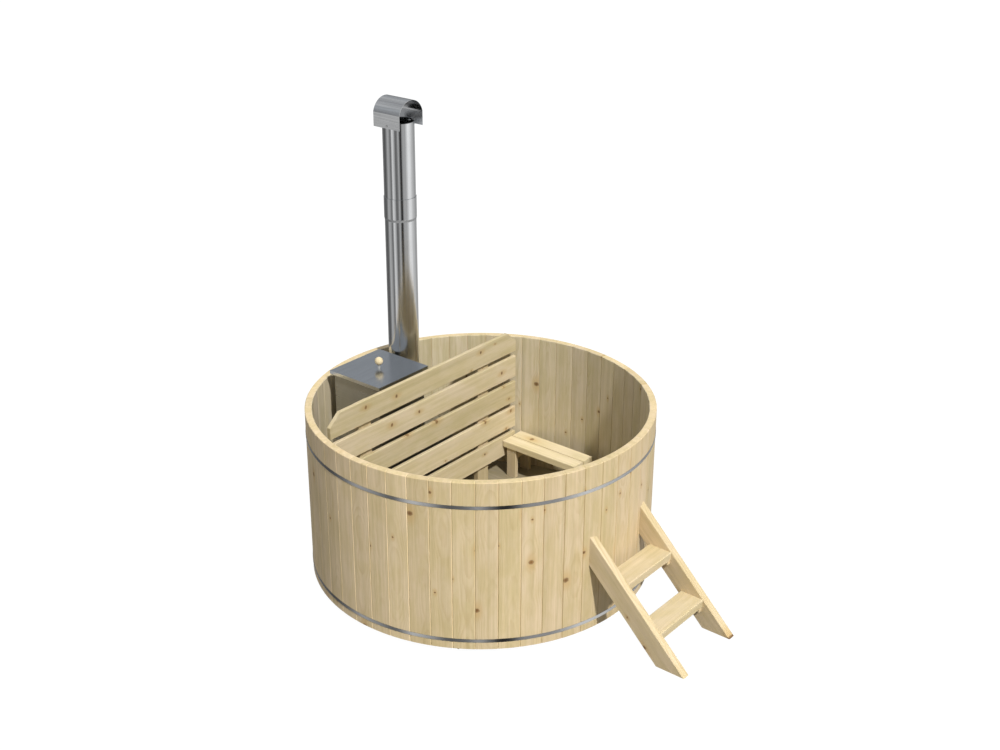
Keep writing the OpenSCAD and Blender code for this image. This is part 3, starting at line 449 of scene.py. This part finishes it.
# Places of the flue's dull parts, in metres
SOCKET_L = 0.129
SOCKET_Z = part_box("flue_lower")[1][2] - SOCKET_L
SOCKET_FOOT = (SOCKET_Z - 0.001, SOCKET_Z + 0.013)
HOOD_LOW, HOOD_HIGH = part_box("flue_hood")
HOOD_R = (HOOD_HIGH[1] - HOOD_LOW[1]) / 2
HOOD_SKIN = 0.0009


def socket_foot(t, place):
    """The narrow cone under the flue's socket."""
    z = t.split(place)[2]
    return t.mul(t.math("GREATER_THAN", z, SOCKET_FOOT[0]), t.math("LESS_THAN", z, SOCKET_FOOT[1]))


def hood_inside(t, place):
    """The inner side of the arched sheet."""
    _, y, z = t.split(place)
    aside = t.sub(y, HOOD_LOW[1] + HOOD_R)
    above = t.math("MAXIMUM", t.sub(z, HOOD_HIGH[2] - HOOD_R), 0.0)
    return t.math("LESS_THAN", t.vec("LENGTH", t.join(aside, above)), HOOD_R - HOOD_SKIN)


# Boards: the pitch at which they repeat along an axis, and where the first begins, in metres
ALL_IN_ONE = (9.0, -4.0)
FLOOR_ROWS = (0.14186, -0.9221)
GUARD_ROWS = (0.16674, 0.0752)
SEAT_ROWS = (0.092, 0.6481)
TREAD_ROWS = (0.206, 0.07)
LEFT_AND_RIGHT = (0.9, -0.9)
LEG_PAIRS = (0.3, -0.4)
LEG_ROWS = (0.1, 0.64)
BEARER_ROWS = (0.4, -0.65)

# How steep the stringers are, and the turn about Y that sets them upright
STRINGER_SLOPE = math.radians(44.7)
STRINGER_TURN = math.pi / 2 - STRINGER_SLOPE


def rows(x=ALL_IN_ONE, y=ALL_IN_ONE, z=ALL_IN_ONE):
    """The cells of the grid in which straight boards lie."""
    return {"cell": (x[0], y[0], z[0]), "shift": (x[1], y[1], z[1])}


W_STAVE = wood("stave_pine", "stave", share=0.72)
# The floor's tint darkens and greys it: painted shade at the bottom of the tub
W_FLOOR = wood("floor_pine", "YZX", **rows(y=FLOOR_ROWS), share=0.4, tint=(0.43, 0.455, 0.50))
# The guard's tint darkens it a little: painted shade inside the tub
W_GUARD = wood("guard_pine", "ZXY", **rows(z=GUARD_ROWS), knot_cell=(0.095, 0.24),
               tint=(0.88, 0.92, 0.97), hue=0.25)
# The battens' tint darkens them: painted shade behind the guard boards
W_BATTEN = wood("batten_pine", "YXZ", **rows(y=LEFT_AND_RIGHT), tint=(0.74, 0.76, 0.79))
# The seat's tint brightens it: painted light on its sunlit top
W_SEAT = wood("seat_pine", "YZX", **rows(y=SEAT_ROWS), share=0.35, tint=(1.115, 1.195, 1.275))
# The legs' tint darkens them: painted shade under the seat
W_LEG = wood("leg_pine", "XYZ", **rows(x=LEG_PAIRS, y=LEG_ROWS), share=0.3, tint=(0.80, 0.82, 0.86))
W_RAIL = wood("rail_pine", "ZXY", **rows(x=LEG_PAIRS), share=0.3)
W_TREAD = wood("tread_pine", "XZY", **rows(z=TREAD_ROWS), share=0.5, grain=1.2, tint=(0.96, 0.995, 1.03))
W_CLEAT = wood("cleat_pine", "YZX", **rows(y=LEFT_AND_RIGHT, z=TREAD_ROWS), share=0.0)
W_KNOB = wood("knob_pine", "XYZ", share=0.0, ring=0.003, rough=0.36, tint=(1.15, 1.2, 1.3))
W_BEARER = wood("bearer_wood", "XZY", **rows(x=BEARER_ROWS), early=(0.075, 0.058, 0.045, 1),
                late=(0.035, 0.027, 0.022, 1), rough=0.75)
W_STRINGER = wood("stringer_pine", "XYZ", **rows(y=LEFT_AND_RIGHT), share=0.65, knot_cell=(0.14, 0.3),
                  grain=1.15, tint=(0.97, 0.985, 1.0), turn=STRINGER_TURN)

BRIGHT_STEEL = (0.72, 0.73, 0.74)
EVEN = (300, 300, 300)
M_FLUE = metal("flue_steel", BRIGHT_STEEL, rough=0.14, brush=(60, 60, 1.5), spread=0.04, stain=0.05,
               aniso=0.85, dull_part=socket_foot)
M_HOOD = metal("hood_steel", BRIGHT_STEEL, rough=0.19, brush=(3, 220, 220), streaks=0.14, metallic=0.94,
               dull_part=hood_inside, dull_look=(0.62, 0.82, 0.12))
M_LID = metal("lid_steel", (0.67, 0.695, 0.72), rough=0.22, brush=(240, 3, 240), stain=0.05)
M_STOVE = metal("stove_steel", (0.41, 0.41, 0.39), rough=0.28, brush=(3, 3, 260), stain=0.2, metallic=0.85)
M_HOOP = metal("hoop_steel", (0.55, 0.55, 0.54), rough=0.17, brush=(60, 60, 400), spread=0.05, aniso=0.7)
M_SCREW = metal("screw_steel", (0.72, 0.72, 0.71), rough=0.28, brush=EVEN)
M_NECK = metal("neck_steel", (0.88, 0.87, 0.83), rough=0.45, brush=EVEN, metallic=0.7)
M_BRASS = metal("valve_brass", (0.80, 0.60, 0.28), rough=0.26, brush=(120, 120, 120), stain=0.3)
M_IRON = rough_coat("cast_iron", (0.09, 0.09, 0.092), rough=0.62, grit=420.0, depth=0.0008, metallic=0.6)
M_RED = rough_coat("lever_paint", (0.55, 0.035, 0.03), rough=0.34, grit=260.0, depth=0.0002)
M_RUBBER = rough_coat("gasket_rubber", (0.03, 0.03, 0.03), rough=0.7, grit=500.0, depth=0.0002)

# The material of each piece; other names are guard boards, bench legs and small steel parts like screws
LOOK = {
    "staves": W_STAVE, "drain_stave": W_STAVE, "floor_boards": W_FLOOR,
    "bearer_center": W_BEARER, "bearer_stove": W_BEARER, "bearer_steps": W_BEARER,
    "hoop_upper": M_HOOP, "hoop_lower": M_HOOP, "lid_knob": W_KNOB, "knob_neck": M_NECK,
    "guard_batten_near": W_BATTEN, "guard_batten_far": W_BATTEN,
    "seat_board_front": W_SEAT, "seat_board_wall": W_SEAT, "bench_rail_1": W_RAIL, "bench_rail_2": W_RAIL,
    "stringer_near": W_STRINGER, "stringer_far": W_STRINGER, "tread_upper": W_TREAD, "tread_lower": W_TREAD,
    "tread_cleats": W_CLEAT,
    "stove_body": M_STOVE, "stove_runners": M_STOVE, "stove_grate": M_IRON, "ash_pan": M_STOVE,
    "stove_lid": M_LID, "flue_lower": M_FLUE, "flue_upper": M_FLUE, "flue_hood": M_HOOD,
    "valve_body": M_BRASS, "valve_cap": M_BRASS, "valve_lever": M_RED, "drain_gasket": M_RUBBER,
}


def dress(name, obj):
    """Gives a piece its material."""
    mat = LOOK.get(name, M_SCREW)
    if name.startswith("guard_board"):
        mat = W_GUARD
    if name.startswith("bench_leg"):
        mat = W_LEG
    obj.data.materials.clear()
    obj.data.materials.append(mat)


for node_name, node_object in NODES.items():
    dress(node_name, node_object)

# Floor: glows white for the camera, and throws a little light back at the tub
FLOOR_HALF = 40
FLOOR_GLOW = 1.04
GLOW_SHARE = 0.95
FLOOR_DIM = (0.20, 0.20, 0.20, 1.0)
FLOOR_PALE = (0.95, 0.95, 0.95, 1.0)
WHITE = (1.0, 1.0, 1.0, 1.0)


def floor_material():
    """Nearly white where the camera sees it, and dim for all light that bounces."""
    mat = bpy.data.materials.new("floor_pale")
    mat.use_nodes = True
    mat.node_tree.nodes.clear()
    t = Tree(mat.node_tree)
    out = t.node("ShaderNodeOutputMaterial")
    seen = t.node("ShaderNodeLightPath").outputs["Is Camera Ray"]
    dim = t.node("ShaderNodeBsdfDiffuse", {"Color": FLOOR_DIM})
    pale = t.node("ShaderNodeBsdfDiffuse", {"Color": FLOOR_PALE})
    glow = t.node("ShaderNodeEmission", {"Color": WHITE, "Strength": FLOOR_GLOW})
    bright = t.node("ShaderNodeMixShader", {0: GLOW_SHARE, 1: pale.outputs[0], 2: glow.outputs[0]})
    both = t.node("ShaderNodeMixShader", {0: seen, 1: dim.outputs[0], 2: bright.outputs[0]})
    t.put(both.outputs[0], out.inputs["Surface"])
    return mat


def pale_floor():
    """A flat square under the tub."""
    mesh = bpy.data.meshes.new("floor")
    corners = [(x * FLOOR_HALF, y * FLOOR_HALF, 0) for x, y in ((-1, -1), (1, -1), (1, 1), (-1, 1))]
    mesh.from_pydata(corners, [], [(0, 1, 2, 3)])
    mesh.materials.append(floor_material())
    floor = bpy.data.objects.new("floor", mesh)
    scene.collection.objects.link(floor)
    floor.visible_glossy = False


pale_floor()

# Key light, and the soft light from all round, which is weaker on its side
SUN_AZ = math.radians(-23)
SUN_EL = math.radians(48)
SUN_POWER = 3.90
SUN_COLOR = (1.0, 0.99, 0.965)
SUN_WIDTH = math.radians(3)
FILL_FACING_SUN = 0.44
FILL_BEHIND = 0.74

# What polished metal reflects: tones by azimuth below the horizon and by elevation above it, in degrees
HORIZON = (-6, 6)
TONES_BELOW = (
    (-180, 0.15), (-165, 0.10), (-152, 0.19), (-136, 0.52), (-125, 0.42), (-109, 0.16), (-95, 0.84),
    (-86, 0.58), (-72, 0.15), (-62, 0.22), (-51, 0.54), (-45, 0.26), (-38, 0.02), (-32, 0.03),
    (-21, 0.42), (-12, 0.47), (-2, 0.44), (8, 0.68), (19, 1.00), (33, 0.92), (50, 0.72), (70, 0.55),
    (84, 0.40), (110, 0.45), (140, 0.30), (180, 0.15))
TONES_ABOVE = (
    (0, (0.14, 0.14, 0.15)), (12, (0.24, 0.25, 0.265)), (30, (0.33, 0.35, 0.375)), (40, (0.47, 0.48, 0.49)),
    (50, (0.24, 0.25, 0.27)), (62, (0.60, 0.60, 0.61)), (76, (0.27, 0.28, 0.29)), (90, (0.50, 0.51, 0.53)))


def round_turn(degrees):
    """Azimuth as a share of the full turn from -180 degrees."""
    return (degrees + 180.0) / 360.0


def rise_share(degrees):
    """Elevation as a share of the half turn from straight down."""
    return (degrees + 90.0) / 180.0


def studio():
    """Surroundings that are white to the camera, banded to shiny surfaces, and a soft light for the rest."""
    world = bpy.data.worlds.new("studio")
    scene.world = world
    world.use_nodes = True
    world.node_tree.nodes.clear()
    t = Tree(world.node_tree)
    x, y, z = t.split(t.node("ShaderNodeTexCoord").outputs["Generated"])
    turn = t.add(t.div(t.math("ARCTAN2", y, x), 2 * math.pi), 0.5)
    rise = t.add(t.div(t.math("ARCSINE", z), math.pi), 0.5)
    below = t.ramp(turn, [(round_turn(d), (v, v, v)) for d, v in TONES_BELOW])
    above = t.ramp(rise, [(rise_share(d), color) for d, color in TONES_ABOVE])
    bands = t.mix(t.span(rise, *(rise_share(d) for d in HORIZON)), below, above)
    side = t.vec("DOT_PRODUCT", t.join(x, y), (math.cos(SUN_AZ), math.sin(SUN_AZ), 0.0))
    soft = t.span(side, -1.0, 1.0, FILL_BEHIND, FILL_FACING_SUN, False)
    ray = t.node("ShaderNodeLightPath").outputs
    fill = t.mix(ray["Is Camera Ray"], t.join(soft, soft, soft), WHITE)
    color = t.mix(ray["Is Glossy Ray"], fill, bands)
    back = t.node("ShaderNodeBackground", {"Color": color, "Strength": 1.0})
    t.put(back.outputs[0], t.node("ShaderNodeOutputWorld").inputs["Surface"])


def key_light():
    """The one lamp, far away, which throws the shadows and doesn't mirror in metal."""
    sun = bpy.data.lights.new("key", "SUN")
    sun.energy = SUN_POWER
    sun.angle = SUN_WIDTH
    sun.color = SUN_COLOR
    key = bpy.data.objects.new("key", sun)
    scene.collection.objects.link(key)
    key.visible_glossy = False
    level = math.cos(SUN_EL)
    toward = Vector((math.cos(SUN_AZ) * level, math.sin(SUN_AZ) * level, math.sin(SUN_EL)))
    key.rotation_euler = toward.to_track_quat("Z", "Y").to_euler()


studio()
key_light()

# Camera at the photograph's view: place in metres, angles in radians, and focal length in its pixels
CAMERA_AT = Vector((4.4039, -5.2632, 4.219))
YAW = -0.6818
PITCH = math.radians(24.167)
ROLL = math.radians(0.261)
FOCAL_PX = 1396.78
IMAGE_W = 1000.0
SENSOR_W = 36.0
FAR_END = 200.0


def camera_turn():
    """The camera's axes as a matrix, from its yaw, pitch and roll."""
    look = Vector((math.sin(YAW) * math.cos(PITCH), math.cos(YAW) * math.cos(PITCH), -math.sin(PITCH)))
    level = Vector((math.cos(YAW), -math.sin(YAW), 0.0))
    upright = level.cross(look)
    right = level * math.cos(ROLL) + upright * math.sin(ROLL)
    up = upright * math.cos(ROLL) - level * math.sin(ROLL)
    return Matrix((right, up, -look)).transposed().to_4x4()


def photo_camera():
    """The camera, and plain colours without a film look."""
    cam = bpy.data.cameras.new("camera")
    cam.lens = FOCAL_PX / IMAGE_W * SENSOR_W
    cam.sensor_width = SENSOR_W
    cam.sensor_fit = "HORIZONTAL"
    cam.clip_end = FAR_END
    camera = bpy.data.objects.new("camera", cam)
    scene.collection.objects.link(camera)
    matrix = camera_turn()
    matrix.translation = CAMERA_AT
    camera.matrix_world = matrix
    scene.camera = camera
    scene.view_settings.view_transform = "Standard"
    scene.view_settings.look = "None"


photo_camera()
